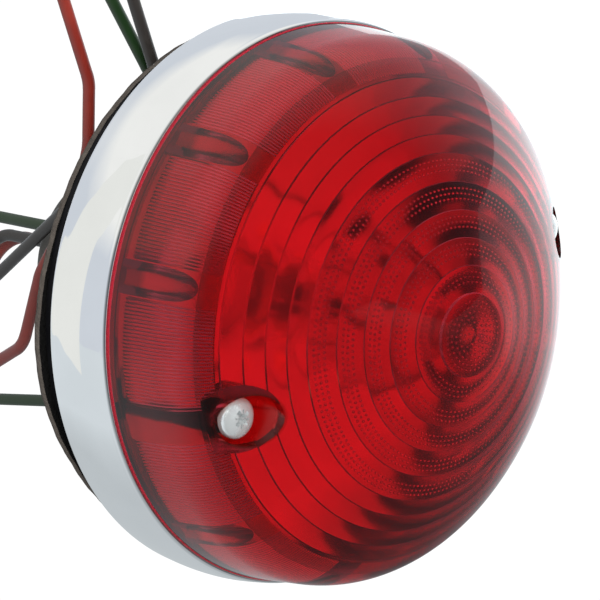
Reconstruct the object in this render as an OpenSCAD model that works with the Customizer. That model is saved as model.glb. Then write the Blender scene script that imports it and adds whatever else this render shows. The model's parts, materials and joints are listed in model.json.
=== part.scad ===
// Round trailer tail light: domed ribbed lens in a chrome bezel on a moulded base,
// bayonet bulb holder, foam gasket, rubber rear boot and three cables.
// The back of the gasket lies on the XZ plane at the origin and the lens faces -Y.
// Inside front() local Z is the distance in front of the mounting face and local Y is up.

/* [Body] */
// Diameter of the bezel at its rear edge
body_d = 95; // [85:0.5:105]
// Thickness of the foam gasket
gasket_t = 1.2; // [1:0.1:4]
// Radius of the hole in the gasket, which clears the rear boot
gasket_hole_r = 20.5; // [19:0.5:24]
// Thickness of the base floor, seen as a black band behind the bezel
floor_t = 3.8; // [2:0.1:5]
// Wall thickness of the base rim
rim_t = 3.4; // [2:0.1:4]
// Front of the base rim, ahead of the mounting face
rim_top = 14.2; // [12:0.1:16]
// Distance between the two fixing holes
fixing_pitch = 50.8; // [45:0.1:60]
// Radius of each fixing hole
fixing_r = 2.6; // [2:0.1:3.2]

/* [Bezel] */
// Front edge of the bezel, ahead of the mounting face
bezel_front = 17.55; // [15:0.05:20]
// Width of the inward shelf that the lens edge sits on
shelf_w = 1.85; // [1:0.05:2.5]

/* [Lens] */
// Radius of the lens edge inside the bezel
lens_edge_r = 46.7; // [40:0.1:50]
// Underside of the lens edge, ahead of the mounting face
lens_seat = 15; // [13:0.1:17]
// Height of the thick edge of the lens
lens_edge_h = 2.8; // [2:0.1:4]
// Inward lean of the side wall in degrees
wall_lean = 6.5; // [3:0.1:12]
// Radius of the shoulder between side wall and dome
shoulder_r = 13.9; // [8:0.1:18]
// Radius of the main dome
dome_r = 59.2; // [50:0.1:80]
// Top of the main dome sphere, ahead of the mounting face
dome_top = 51.9; // [45:0.1:60]
// Radius of the small dome at the centre
nose_r = 22; // [15:0.5:40]
// Radius where the main dome runs into the straight flank of the nose
nose_start_r = 20; // [12:0.5:30]
// Wall thickness of the lens
lens_t = 2.3; // [1.5:0.1:3]
// Extra thickness at the deep side of each inner ring
ring_step = 0.8; // [0.3:0.1:1.5]
// Outer radius of the ringed face
ring_outer_r = 41.3; // [35:0.1:44]
// Number of inner rings
ring_count = 10; // [6:1:14]
// Radius of each stiffening rib inside the side wall
rib_r = 2.7; // [1.5:0.1:3]
// Distance of the ribs from the lamp axis
rib_at = 44; // [39:0.1:45]
// Angle between neighbouring ribs in degrees
rib_pitch = 30; // [20:5:60]

/* [Lens screws] */
// Distance of each lens screw from the lamp axis
screw_r = 37.2; // [35:0.05:42]
// Floor of the screw well, ahead of the mounting face
well_floor = 34.5; // [30:0.1:40]
// Radius of the screw well
well_r = 4.2; // [3.5:0.1:6]
// Radius of the pan head
head_r = 3.4; // [2.5:0.1:4]
// Height of the pan head
head_h = 2.3; // [1.5:0.1:3]
// Radius of the screw shank
shank_r = 1.48; // [1.2:0.01:2]
// Length of the screw shank
shank_l = 11; // [8:0.5:16]
// Radius of the base pillar under each screw
pillar_r = 3; // [2.5:0.1:3.2]

/* [Bulb and holder] */
// Radius of the bulb cap
cap_r = 7.5; // [7.4:0.01:7.6]
// Rear end of the bulb cap, ahead of the mounting face
cap_rear = -5.4; // [-8:0.1:-3]
// Length of the bulb cap
cap_l = 15; // [14:0.5:17]
// Radius of the bulb glass
glass_r = 12.5; // [11:0.1:13]
// Centre of the bulb glass, ahead of the mounting face
glass_at = 30.5; // [28:0.1:34]
// Radial running clearance of the cap in the holder
cap_gap = 0.08; // [0.02:0.01:0.1]
// Wall thickness of the holder shell
shell_t = 0.7; // [0.5:0.1:1]
// Push-in travel of the sprung contacts
push_travel = 2; // [1:0.1:3]
// Twist of the bulb between latched and free, in degrees
twist = 20; // [15:1:30]

/* [Rear boot and cables] */
// Outer radius of the boot where it grips the base collar
boot_r = 19.5; // [18:0.1:20]
// Outer radius of the narrow end of the boot
boot_end_r = 16.5; // [8:0.1:18]
// Distance behind the mounting face of the narrow end of the boot
boot_end = 36; // [30:0.5:50]
// Wall thickness of the boot
boot_t = 1.8; // [1.2:0.1:2.5]
// Outer diameter of each cable
cable_d = 2.15; // [2:0.05:3]
// Radius of the copper conductor
core_r = 0.7; // [0.4:0.05:0.9]
// Length of bare conductor at each cable end
bare_l = 5; // [2:0.5:10]

/* [Hidden] */
// Clearance and overlap used where two faces must pass or cut cleanly
eps = 0.05;
cut = 1;
body_r = body_d / 2;
floor_front = gasket_t + floor_t;
gasket_r = body_r - 2.1;
base_r = body_r - 2.3;
ledge_r = body_r - 1;
ledge_t = 1.2;
rim_r = body_r - 1.6;
rim_in = rim_r - rim_t;
bezel_in = rim_r + 0.3;
lip_r = lens_edge_r + 0.15;
pillar_top = well_floor - lens_t - 0.5;
insert_r = 2.2;
insert_l = 10;
lens_hole_r = 1.9;
boss_r = 5.6;
lens_edge_top = lens_seat + lens_edge_h;
lens_edge_in = 42.6;
ring_pitch = ring_outer_r / (ring_count + 0.5);

// shoulder centre: tangent to the leaning side wall and to the main dome
wall_foot_r = lens_edge_r - 0.1;
dome_c = dome_top - dome_r;
p0 = [wall_foot_r - shoulder_r * cos(wall_lean), lens_edge_top - shoulder_r * sin(wall_lean)];
wall_dir = [-sin(wall_lean), cos(wall_lean)];
wv = [p0[0], p0[1] - dome_c];
wb = wv * wall_dir;
wc = wv * wv - pow(dome_r - shoulder_r, 2);
ws = -wb + sqrt(wb * wb - wc);
sc = p0 + ws * wall_dir;
shoulder_a = atan2(sc[1] - dome_c, sc[0]);
nose_a = asin(nose_start_r / dome_r);
nose_c = dome_c + dome_r * cos(nose_a) + nose_start_r * tan(nose_a) - nose_r / cos(nose_a);

// height of the dome at radius r, for the surface lying d inside the outer one
function dome_z(r, d) =
    r < (nose_r - d) * sin(nose_a) ? nose_c + sqrt(pow(nose_r - d, 2) - r * r) :
    r < (dome_r - d) * sin(nose_a) ?
        nose_c + (nose_r - d) / cos(nose_a) - r * tan(nose_a) :
    r < (dome_r - d) * cos(shoulder_a) ? dome_c + sqrt(pow(dome_r - d, 2) - r * r) :
    sc[1] + sqrt(max(0, pow(shoulder_r - d, 2) - pow(r - sc[0], 2)));

arc_n = 12;
flank_n = 9;
nose_n = 5;
// outer line of the lens from the shoulder to the apex
function shoulder_pts(d) = [for (i = [0 : arc_n])
    let (a = wall_lean + (shoulder_a - wall_lean) * i / arc_n)
    [sc[0] + (shoulder_r - d) * cos(a), sc[1] + (shoulder_r - d) * sin(a)]];
function dome_pts(d) = [for (i = [1 : flank_n])
    let (a = shoulder_a + (90 - nose_a - shoulder_a) * i / flank_n)
    [(dome_r - d) * cos(a), dome_c + (dome_r - d) * sin(a)]];
function nose_pts(d) = [for (i = [0 : nose_n])
    let (a = 90 - nose_a + nose_a * i / nose_n)
    [i == nose_n ? 0 : (nose_r - d) * cos(a), nose_c + (nose_r - d) * sin(a)]];
outer_pts = concat([[lens_edge_r, lens_seat], [lens_edge_r, lens_edge_top],
    [wall_foot_r, lens_edge_top]], shoulder_pts(0), dome_pts(0), nose_pts(0));
// inner line: stepped rings from the axis outwards, then the shoulder and the side wall
inner_rings = [for (k = [0 : ring_count - 1], s = [0, 1])
    let (r = ring_pitch * (k + 1))
    [r, dome_z(r, lens_t + ring_step * s)]];
inner_side = [for (i = [4 : -1 : 0])
    let (a = wall_lean + (shoulder_a - wall_lean) * i / arc_n)
    [sc[0] + (shoulder_r - lens_t) * cos(a), sc[1] + (shoulder_r - lens_t) * sin(a)]];
inner_pts = concat([[0, dome_z(0, lens_t)]], inner_rings, inner_side,
    [[wall_foot_r - lens_t, lens_edge_top], [lens_edge_in, lens_seat + 1.4],
    [lens_edge_in, lens_seat]]);

shell_in = cap_r + cap_gap;
shell_r = shell_in + shell_t;
shell_rear = -12;
shell_front = 9.5;
flange_r = 16.5;
flange_t = 0.8;
rivet_at = 12.6;
rivet_r = 1.5;
rivet_head_r = 2.1;
tag_t = 0.8;
tag_w = 5;
tag_at = 9.65;
reflector_in = 17.2;
reflector_r = 41.8;
reflector_t = 0.8;
pillar_gap = 0.4;
web_w = 2.4;
pin_r = 1;
pin_tip = 8.6;
pin_low = 0.4;
pin_high = 3.4;
slot_w = 2.4;
slot_end = 4;
pad_at = 2.8;
pad_tip = cap_rear - 1.4;
carrier_front = pad_tip - 1.2;
carrier_t = 1.8;
carrier_rear = carrier_front - carrier_t;
cup_floor = -17;
cup_rear = -19;
cup_r = 9.4;
cup_front = -10;
collar_r = 17.5;
collar_in = 15;
tag_reach = collar_in - 0.4;
collar_rear = -9;
collar_l = 11;
spring_r = 5.4;
spring_wire = 0.45;
spring_halves = 8;
stem_top = 18;
lead_r = 0.25;
coil_r = 0.45;
lead_x = 3;
nozzle_x = -1.8;
nozzle_y = 3.5;
nozzle_r = 5;
nozzle_end = 41;
nozzle_bore = 3.3;
cable_start = 20;
cable_r = cable_d / 2;
round_fn = 96;
small_fn = 48;

// corner points of each cable, in front() coordinates, and its bend radius
green_route = [[-0.9, 5.1, -20], [-0.9, 5.1, -72], [-13, -28, -73], [-9, -24, -36],
    [25, -20, -20], [27, 8, -16], [3.4, 36, -16], [-3.2, 58, -16]];
black_route = [[-3.7, 3.5, -20], [-3.7, 3.5, -60], [-15.4, -10.5, -65.5], [-15.4, 19.5, -21],
    [1.5, 36, -12], [-0.6, 58, -12]];
red_route = [[-0.9, 1.9, -20], [-0.9, 1.9, -62.5], [-19, -22, -64], [-20, -8, -38],
    [-17.9, 6, -31], [-11.6, 17.6, -24.5], [-8.4, 27, -22], [-6.1, 38, -20.7], [-7.9, 58, -20.6]];
green_bend = 9;
red_bend = 8;
black_bend = 6;

black_foam = [0.07, 0.07, 0.075];
black_moulding = [0.05, 0.05, 0.055];
chrome = [0.85, 0.87, 0.88];
lens_red = [0.75, 0.05, 0.07, 0.75];
zinc = [0.75, 0.76, 0.74];
brass = [0.8, 0.65, 0.3];
steel = [0.62, 0.63, 0.64];
rubber = [0.1, 0.1, 0.1];
clear_glass = [0.85, 0.9, 0.92, 0.35];
copper = [0.75, 0.42, 0.25];

// ---- helpers ----
module front() { rotate([90, 0, 0]) children(); }
module ring(r, h, hole) {
    difference() {
        cylinder(r = r, h = h, $fn = round_fn);
        translate([0, 0, -cut]) cylinder(r = hole, h = h + 2 * cut, $fn = round_fn);
    }
}
module at_pair(x) { for (s = [-1, 1]) translate([s * x, 0, 0]) children(); }

// a frame at p whose Z runs along d1 and whose X lies on the side of d2
function unit(v) = v / norm(v);
function turn(d1, d2) = acos(min(1, max(-1, d1 * d2)));
function side(d1, d2) = unit(d2 - (d2 * d1) * d1);
module frame(p, d1, n) {
    b = cross(d1, n);
    multmatrix([[n[0], b[0], d1[0], p[0]], [n[1], b[1], d1[1], p[1]],
        [n[2], b[2], d1[2], p[2]], [0, 0, 0, 1]]) children();
}
// pipe bend from the origin, heading +Z and turning towards +X
module bend(r, radius, angle) {
    translate([radius, 0, 0]) rotate([90, 0, 0]) rotate([0, 0, 180 - angle])
        rotate_extrude(angle = angle, $fn = round_fn)
            translate([radius, 0, 0]) circle(r = r, $fn = small_fn);
}
// each straight leg is a hair thinner than the bends and runs a little way into them
joint_step = 0.02;
joint_in = 0.4;
// tangent length taken from each leg at corner i
function trim(p, i, radius) = i <= 0 || i >= len(p) - 1 ? 0 :
    radius * tan(turn(unit(p[i] - p[i - 1]), unit(p[i + 1] - p[i])) / 2);
module route(p, r, radius) {
    for (i = [0 : len(p) - 2]) {
        d = unit(p[i + 1] - p[i]);
        ta = trim(p, i, radius);
        tb = trim(p, i + 1, radius);
        n = side(d, abs(d[0]) < 0.9 ? [1, 0, 0] : [0, 1, 0]);
        la = i > 0 ? joint_in : 0;
        lb = i < len(p) - 2 ? joint_in : 0;
        frame(p[i] + d * (ta - la), d, n)
            cylinder(r = r - joint_step, h = norm(p[i + 1] - p[i]) - ta - tb + la + lb,
                $fn = small_fn);
        if (i < len(p) - 2) {
            e = unit(p[i + 2] - p[i + 1]);
            frame(p[i + 1] - d * tb, d, side(d, e)) bend(r, radius, turn(d, e));
        }
    }
}
// the last leg of a cable, with Z pointing out of the cable end
module at_cable_end(p) {
    d = unit(p[len(p) - 1] - p[len(p) - 2]);
    frame(p[len(p) - 1], d, side(d, [1, 0, 0])) children();
}
module cable(p, radius) {
    front() difference() {
        route(p, cable_r, radius);
        at_cable_end(p) translate([0, 0, -bare_l])
            cylinder(r = core_r + eps, h = bare_l + cut, $fn = small_fn);
    }
}
module core(p) {
    front() at_cable_end(p) translate([0, 0, -bare_l])
        cylinder(r = core_r, h = 2 * bare_l, $fn = small_fn);
}

// ---- body ----
module mounting_gasket() {
    color(black_foam) front() difference() {
        ring(gasket_r, gasket_t, gasket_hole_r);
        at_pair(fixing_pitch / 2) translate([0, 0, -cut])
            cylinder(r = fixing_r, h = gasket_t + 2 * cut, $fn = small_fn);
    }
}
module base_housing() {
    color(black_moulding) front() difference() {
        union() {
            translate([0, 0, gasket_t]) cylinder(r = base_r, h = floor_t, $fn = round_fn);
            translate([0, 0, floor_front - ledge_t]) cylinder(r = ledge_r, h = ledge_t, $fn = round_fn);
            translate([0, 0, floor_front - ledge_t])
                ring(rim_r, rim_top - floor_front + ledge_t, rim_in);
            translate([0, 0, collar_rear])
                ring(collar_r, gasket_t - collar_rear + cut, collar_in);
            at_pair(screw_r) translate([0, 0, gasket_t])
                cylinder(r = pillar_r, h = pillar_top - gasket_t, $fn = small_fn);
            at_pair((screw_r + rim_in + 2) / 2) translate([0, 0, (gasket_t + rim_top) / 2])
                cube([rim_in + 2 - screw_r, web_w, rim_top - gasket_t], center = true);
        }
        translate([0, 0, gasket_t - cut])
            cylinder(r = shell_r + 2, h = floor_t + 2 * cut, $fn = round_fn);
        at_pair(fixing_pitch / 2) translate([0, 0, gasket_t - cut])
            cylinder(r = fixing_r, h = floor_t + 2 * cut, $fn = small_fn);
        at_pair(screw_r) translate([0, 0, pillar_top - insert_l])
            cylinder(r = insert_r, h = insert_l + cut, $fn = small_fn);
        for (s = [-1, 1]) translate([0, s * rivet_at, gasket_t - cut])
            cylinder(r = rivet_r + eps, h = floor_t + 2 * cut, $fn = small_fn);
    }
}
module insert_at(s) {
    color(brass) front() translate([s * screw_r, 0, pillar_top - insert_l])
        ring(insert_r, insert_l, shank_r + eps);
}
module insert_left() { insert_at(-1); }
module insert_right() { insert_at(1); }
module chrome_bezel() {
    h = bezel_front - floor_front;
    color(chrome) front() rotate_extrude($fn = round_fn) polygon([
        [bezel_in, floor_front], [body_r - 0.25, floor_front], [body_r, floor_front + 0.3],
        [body_r + 0.2, floor_front + 0.35 * h], [body_r + 0.15, floor_front + 0.65 * h],
        [body_r - 0.05, floor_front + 0.85 * h], [body_r - 0.35, floor_front + 0.95 * h],
        [lip_r + 0.1, bezel_front], [lip_r, bezel_front - 0.15], [lip_r, lens_seat],
        [lip_r - shelf_w, lens_seat], [lip_r - shelf_w, lens_seat - 0.6],
        [bezel_in, lens_seat - 0.6]]);
}
module lens_seal() {
    color(rubber) front() translate([0, 0, rim_top])
        ring(lip_r - shelf_w - 0.15, lens_seat - rim_top, rim_in + 0.2);
}

// ---- lens and screws ----
module lens_outer() {
    rotate_extrude($fn = round_fn) polygon(concat([[0, lens_seat]], outer_pts));
}
module lens() {
    color(lens_red) front() difference() {
        union() {
            difference() {
                lens_outer();
                rotate_extrude($fn = round_fn)
                    polygon(concat([[0, lens_seat - cut], [lens_edge_in, lens_seat - cut]],
                        [for (i = [len(inner_pts) - 1 : -1 : 0]) inner_pts[i]]));
            }
            intersection() {
                union() {
                    at_pair(screw_r) translate([0, 0, well_floor - lens_t])
                        cylinder(r = boss_r, h = dome_top - well_floor, $fn = small_fn);
                    for (a = [rib_pitch : rib_pitch : 180 - rib_pitch], s = [0, 180])
                        rotate([0, 0, a + s]) translate([rib_at, 0, lens_seat + 1.5])
                            cylinder(r = rib_r, h = dome_top - well_floor, $fn = small_fn);
                }
                lens_outer();
            }
        }
        at_pair(screw_r) {
            translate([0, 0, well_floor])
                cylinder(r = well_r, h = dome_top - well_floor, $fn = small_fn);
            translate([0, 0, well_floor - lens_t - cut])
                cylinder(r = lens_hole_r, h = lens_t + 2 * cut, $fn = small_fn);
            translate([0, 0, lens_seat - cut])
                cylinder(r = pillar_r + pillar_gap, h = well_floor - lens_t - lens_seat + cut,
                    $fn = small_fn);
        }
    }
}
module lens_screw(s) {
    color(zinc) front() translate([s * screw_r, 0, well_floor]) difference() {
        union() {
            rotate_extrude($fn = small_fn) polygon([[0, 0], [head_r, 0], [head_r, 0.4 * head_h],
                [0.93 * head_r, 0.65 * head_h], [0.75 * head_r, 0.85 * head_h],
                [0.45 * head_r, 0.97 * head_h], [0, head_h]]);
            translate([0, 0, -shank_l]) cylinder(r = shank_r, h = shank_l + eps, $fn = small_fn);
        }
        for (a = [0, 90]) rotate([0, 0, a]) translate([0, 0, head_h])
            cube([0.55 * 2 * head_r, 0.8, head_h], center = true);
    }
}
module lens_screw_left() { lens_screw(-1); }
module lens_screw_right() { lens_screw(1); }

// ---- reflector and bulb holder ----
module reflector() {
    f = floor_front;
    t = reflector_t;
    color(chrome) front() difference() {
        rotate_extrude($fn = round_fn) polygon([[reflector_in, f], [reflector_r - 6, f],
            [reflector_r - 2.4, f + 1.6], [reflector_r - 0.8, f + 4.6], [reflector_r, rim_top],
            [reflector_r - t, rim_top], [reflector_r - t - 0.8, f + 4.8],
            [reflector_r - t - 2.2, f + 2.2], [reflector_r - 6, f + t], [reflector_in, f + t]]);
        at_pair(fixing_pitch / 2) translate([0, 0, f - cut])
            cylinder(r = fixing_r + pillar_gap, h = 2 * cut + t, $fn = small_fn);
        at_pair(screw_r) translate([0, 0, f - cut])
            cylinder(r = pillar_r + pillar_gap, h = rim_top, $fn = small_fn);
        at_pair(reflector_r) translate([0, 0, f - cut + rim_top / 2])
            cube([2 * (reflector_r - screw_r), web_w + 2 * pillar_gap, rim_top], center = true);
    }
}
// one bayonet slot: entry from the front, then sideways to the latched angle
module bayonet_slot(a, level) {
    low = level - pin_r - push_travel - 0.2;
    half_w = asin(slot_w / 2 / shell_in);
    out = pin_tip + 0.3;
    rotate([0, 0, a]) {
        rotate([0, 0, -half_w]) translate([0, 0, low])
            rotate_extrude(angle = twist + 2 * half_w + slot_end, $fn = round_fn)
                translate([shell_in - cut, 0])
                    square([out - shell_in + cut, level + pin_r + 0.2 - low]);
        rotate([0, 0, twist]) translate([shell_in - 2 * cut, -slot_w / 2, level])
            cube([out + 0.4 - shell_in + 2 * cut, slot_w, shell_front + cut - level]);
    }
}
module socket_shell() {
    color(steel) front() difference() {
        union() {
            translate([0, 0, shell_rear])
                cylinder(r = shell_r, h = shell_front - shell_rear, $fn = round_fn);
            translate([0, 0, floor_front]) cylinder(r = flange_r, h = flange_t, $fn = round_fn);
        }
        translate([0, 0, shell_rear - cut])
            cylinder(r = shell_in, h = shell_front - shell_rear + 2 * cut, $fn = round_fn);
        bayonet_slot(90, pin_low);
        bayonet_slot(270, pin_high);
        for (s = [-1, 1]) translate([0, s * rivet_at, floor_front - cut])
            cylinder(r = rivet_r + eps, h = 3 * cut, $fn = small_fn);
    }
}
module socket_rivets() {
    color(brass) front() for (s = [-1, 1]) translate([0, s * rivet_at, 0]) {
        rear = gasket_t - (s < 0 ? tag_t : 0);
        translate([0, 0, rear]) cylinder(r = rivet_r, h = floor_front + flange_t - rear,
            $fn = small_fn);
        translate([0, 0, rear - 0.8]) cylinder(r = rivet_head_r, h = 0.8, $fn = small_fn);
        translate([0, 0, floor_front + flange_t])
            cylinder(r1 = rivet_head_r, r2 = rivet_r, h = 0.8, $fn = small_fn);
    }
}
module earth_tag() {
    color(brass) front() difference() {
        union() {
            translate([-tag_w / 2, -tag_reach, gasket_t - tag_t])
                cube([tag_w, tag_reach - tag_at, tag_t]);
            translate([-tag_w / 2, -tag_at - tag_t, cup_rear])
                cube([tag_w, tag_t, gasket_t - cup_rear]);
        }
        translate([0, -rivet_at, gasket_t - cut])
            cylinder(r = rivet_r + eps, h = 2 * cut, $fn = small_fn);
    }
}
module socket_cup() {
    color(black_moulding) front() difference() {
        translate([0, 0, cup_rear]) cylinder(r = cup_r, h = cup_front - cup_rear, $fn = round_fn);
        translate([0, 0, cup_floor]) cylinder(r = shell_r + eps, h = cup_front - cup_floor + cut,
            $fn = round_fn);
        at_pair(pad_at) translate([0, 0, cup_rear - cut])
            cylinder(r = 1.6, h = 2 * cut + cup_floor - cup_rear, $fn = small_fn);
    }
}
module contact_carrier() {
    color([0.35, 0.22, 0.12]) front() difference() {
        translate([0, 0, carrier_rear]) cylinder(r = cap_r - 0.1, h = carrier_t, $fn = round_fn);
        at_pair(pad_at) translate([0, 0, carrier_rear - cut])
            cylinder(r = 1.1 + eps, h = carrier_t + 2 * cut, $fn = small_fn);
    }
}
module plunger_at(s) {
    color(brass) front() translate([s * pad_at, 0, 0]) {
        translate([0, 0, carrier_front]) cylinder(r = 1.5, h = 0.6, $fn = small_fn);
        translate([0, 0, carrier_front + 0.6])
            cylinder(r1 = 1.5, r2 = 0.8, h = pad_tip - carrier_front - 0.6 - eps, $fn = small_fn);
        translate([0, 0, carrier_rear - 4]) cylinder(r = 1.1, h = carrier_t + 4, $fn = small_fn);
    }
}
module plunger_left() { plunger_at(-1); }
module plunger_right() { plunger_at(1); }
// coil made of tilted half rings that meet end to end
module contact_spring() {
    rise = (carrier_rear - cup_floor - 2 * spring_wire) / spring_halves;
    tilt = atan(rise / (2 * spring_r));
    half_ring_r = spring_r / cos(tilt);
    color(steel) front() translate([0, 0, cup_floor + spring_wire])
        for (i = [0 : spring_halves - 1])
            translate([0, 0, (i + 0.5) * rise])
                rotate([0, i % 2 == 0 ? -tilt : tilt, 0]) rotate([0, 0, i % 2 == 0 ? 0 : 180])
                    rotate_extrude(angle = 180, $fn = round_fn)
                        translate([half_ring_r, 0]) circle(r = spring_wire, $fn = small_fn);
}

// ---- bulb ----
module bulb_cap() {
    color(brass) front() difference() {
        translate([0, 0, cap_rear]) ring(cap_r, cap_l, cap_r - 0.45);
        for (p = [[1, pin_low], [-1, pin_high]]) translate([0, 0, p[1]])
            rotate([-90 * p[0], 0, 0]) cylinder(r = pin_r + 0.02, h = 2 * cap_r, $fn = small_fn);
    }
}
module bulb_pins() {
    color(brass) front() for (p = [[1, pin_low], [-1, pin_high]])
        translate([0, p[0] * (cap_r - 0.45), p[1]]) rotate([-90 * p[0], 0, 0])
            cylinder(r = pin_r, h = pin_tip - cap_r + 0.45, $fn = small_fn);
}
module bulb_insulator() {
    color(black_moulding) front() translate([0, 0, cap_rear - 0.6])
        cylinder(r = cap_r - 0.47, h = 2.6, $fn = round_fn);
}
module bulb_contacts() {
    color(zinc) front() at_pair(pad_at) translate([0, 0, pad_tip])
        cylinder(r1 = 1, r2 = 1.6, h = cap_rear - 0.6 - pad_tip, $fn = small_fn);
}
module envelope(d, low) {
    rotate_extrude($fn = round_fn) intersection() {
        union() {
            translate([0, glass_at]) circle(r = glass_r - d, $fn = round_fn);
            translate([0, low]) square([cap_r - 0.6 - d, glass_at - low]);
        }
        translate([0, low]) square([2 * glass_r, 4 * glass_r]);
    }
}
module bulb_glass() {
    color(clear_glass) front() difference() {
        envelope(0, 4);
        envelope(0.7, 4 - cut);
    }
}
module bulb_stem() {
    color(clear_glass) front() translate([0, 0, 4])
        cylinder(r1 = 5.4, r2 = 2.6, h = stem_top - 4, $fn = small_fn);
}
// two leads carry each filament: the stop pair in front of the tail pair
module leads(y, top) {
    for (s = [-1, 1]) translate([s * lead_x, y, stem_top - 6])
        cylinder(r = lead_r, h = top + coil_r - stem_top + 6, $fn = small_fn);
}
module filament_leads() {
    color(steel) front() difference() {
        union() {
            leads(1.2, 31);
            leads(-1.2, 27);
        }
        translate([0, 0, 4]) cylinder(r1 = 5.4, r2 = 2.6, h = stem_top - 4, $fn = small_fn);
    }
}
module coil(y, level) {
    color(zinc) front() translate([-lead_x + lead_r, y, level]) rotate([0, 90, 0])
        cylinder(r = coil_r, h = 2 * (lead_x - lead_r), $fn = small_fn);
}
module filament_stop() { coil(1.2, 31); }
module filament_tail() { coil(-1.2, 27); }

// ---- rear boot and cables ----
module boot_body(d) {
    rotate_extrude($fn = round_fn) polygon([[0, -collar_r / 50], [boot_r - d, -0.35],
        [boot_r - d, -8], [boot_end_r - d, -boot_end], [0.7 * boot_end_r - d, -boot_end - 3.4],
        [0, -boot_end - 4 + d]]);
}
module rear_boot() {
    color(rubber) front() difference() {
        union() {
            boot_body(0);
            translate([nozzle_x, nozzle_y, -nozzle_end])
                cylinder(r = nozzle_r, h = nozzle_end - boot_end, $fn = small_fn);
        }
        boot_body(boot_t);
        translate([0, 0, collar_rear - 0.2])
            cylinder(r = collar_r + eps, h = collar_l + cut, $fn = round_fn);
        translate([nozzle_x, nozzle_y, -nozzle_end - cut])
            cylinder(r = nozzle_bore, h = nozzle_end - boot_end + 2 * cut, $fn = small_fn);
    }
}
module cable_green() { color([0.05, 0.22, 0.1]) cable(green_route, green_bend); }
module cable_black() { color([0.05, 0.05, 0.05]) cable(black_route, black_bend); }
module cable_red() { color([0.75, 0.12, 0.06]) cable(red_route, red_bend); }
module core_green() { color(copper) core(green_route); }
module core_black() { color(copper) core(black_route); }
module core_red() { color(copper) core(red_route); }

mounting_gasket();
base_housing();
insert_left();
insert_right();
chrome_bezel();
lens_seal();
lens();
lens_screw_left();
lens_screw_right();
reflector();
socket_shell();
socket_rivets();
earth_tag();
socket_cup();
contact_carrier();
plunger_left();
plunger_right();
contact_spring();
bulb_cap();
bulb_pins();
bulb_insulator();
bulb_contacts();
bulb_glass();
bulb_stem();
filament_leads();
filament_stop();
filament_tail();
rear_boot();
cable_green();
cable_black();
cable_red();
core_green();
core_black();
core_red();
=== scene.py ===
import json
import math

import bmesh
import bpy
import numpy as np
from mathutils import Matrix, Vector

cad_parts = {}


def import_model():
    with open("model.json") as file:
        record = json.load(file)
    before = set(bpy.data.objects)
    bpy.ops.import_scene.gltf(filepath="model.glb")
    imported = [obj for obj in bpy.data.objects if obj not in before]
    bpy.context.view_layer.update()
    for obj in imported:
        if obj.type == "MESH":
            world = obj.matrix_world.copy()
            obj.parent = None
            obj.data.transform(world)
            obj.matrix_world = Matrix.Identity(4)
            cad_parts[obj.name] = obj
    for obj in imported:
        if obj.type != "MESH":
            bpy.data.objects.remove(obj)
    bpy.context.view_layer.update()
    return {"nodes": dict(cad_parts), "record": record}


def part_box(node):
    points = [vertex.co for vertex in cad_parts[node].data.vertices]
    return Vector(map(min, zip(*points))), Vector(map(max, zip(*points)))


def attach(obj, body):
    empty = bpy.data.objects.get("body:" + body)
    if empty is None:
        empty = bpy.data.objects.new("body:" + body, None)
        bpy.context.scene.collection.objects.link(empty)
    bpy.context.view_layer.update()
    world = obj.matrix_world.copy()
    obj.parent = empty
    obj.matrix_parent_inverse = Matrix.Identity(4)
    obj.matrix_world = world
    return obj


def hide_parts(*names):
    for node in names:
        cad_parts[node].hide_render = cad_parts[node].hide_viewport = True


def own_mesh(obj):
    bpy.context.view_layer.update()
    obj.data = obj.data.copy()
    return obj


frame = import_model()

MM = 0.001
TURN = 2 * math.pi

# ---- places and sizes read from the CAD frame, in millimetres ----
# The lamp axis is Y and the lens faces -Y, so "front" below means -y in millimetres.


def span(node):
    """Lowest and highest corner of a CAD node, in millimetres."""
    low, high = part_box(node)
    return low / MM, high / MM


def radius_of(node):
    low, high = span(node)
    return (high.x - low.x) / 2


def front_of(node):
    return -span(node)[0].y


def rear_of(node):
    return -span(node)[1].y


BODY_R = radius_of("chrome_bezel")
BEZEL_REAR = rear_of("chrome_bezel")
BEZEL_FRONT = front_of("chrome_bezel")
LENS_SEAT = rear_of("lens")
LENS_EDGE_R = radius_of("lens")
GASKET_R = radius_of("mounting_gasket")
GASKET_T = front_of("mounting_gasket")
SCREW_AT = (span("lens_screw_right")[0].x + span("lens_screw_right")[1].x) / 2
HEAD_R = radius_of("lens_screw_right")
HEAD_TOP = front_of("lens_screw_right")
GASKET_HOLE_R = 20.5
FIXING_AT, FIXING_R = 25.4, 2.6
BOOT_R = radius_of("rear_boot")
BOOT_END_R = 16.5
NOZZLE_END = rear_of("rear_boot")
NOZZLE_X, NOZZLE_UP = -1.8, 3.5
CABLE_BORE_R = 3.3
COLLAR_R = 17.5

# Outer line of the lens: leaning side wall (degrees), round shoulder, dome and small nose.
WALL_LEAN = 6.5
SHOULDER_R = 13.9
DOME_R, DOME_TOP = 59.2, 51.9
NOSE_R, NOSE_START_R = 22.0, 20.0
LENS_T = 2.3
EDGE_TOP = LENS_SEAT + 2.8
EDGE_IN = 42.6
FOOT_R = LENS_EDGE_R - 0.1
# Radii where the stepped rings of the inner face end, and the shape of one ring facet.
RINGS_AT = [6.4 + 4.24 * k for k in range(5)] + [27.6 + 2.74 * k for k in range(6)]
RING_STEP, CENTRE_STEP = 0.28, 0.7
RING_BULGE = 0.05
RING_ROWS = 6
STIPPLE_TO = 27.6
STIPPLE_PITCH, STIPPLE_R, STIPPLE_SIDES = 0.92, 0.25, 6
# Vertices round the rings. The fluted wall has SPLIT times as many; a flute takes FLUTE_SPLIT of those.
COLUMNS, SPLIT, FLUTE_SPLIT = 240, 4, 2
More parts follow.
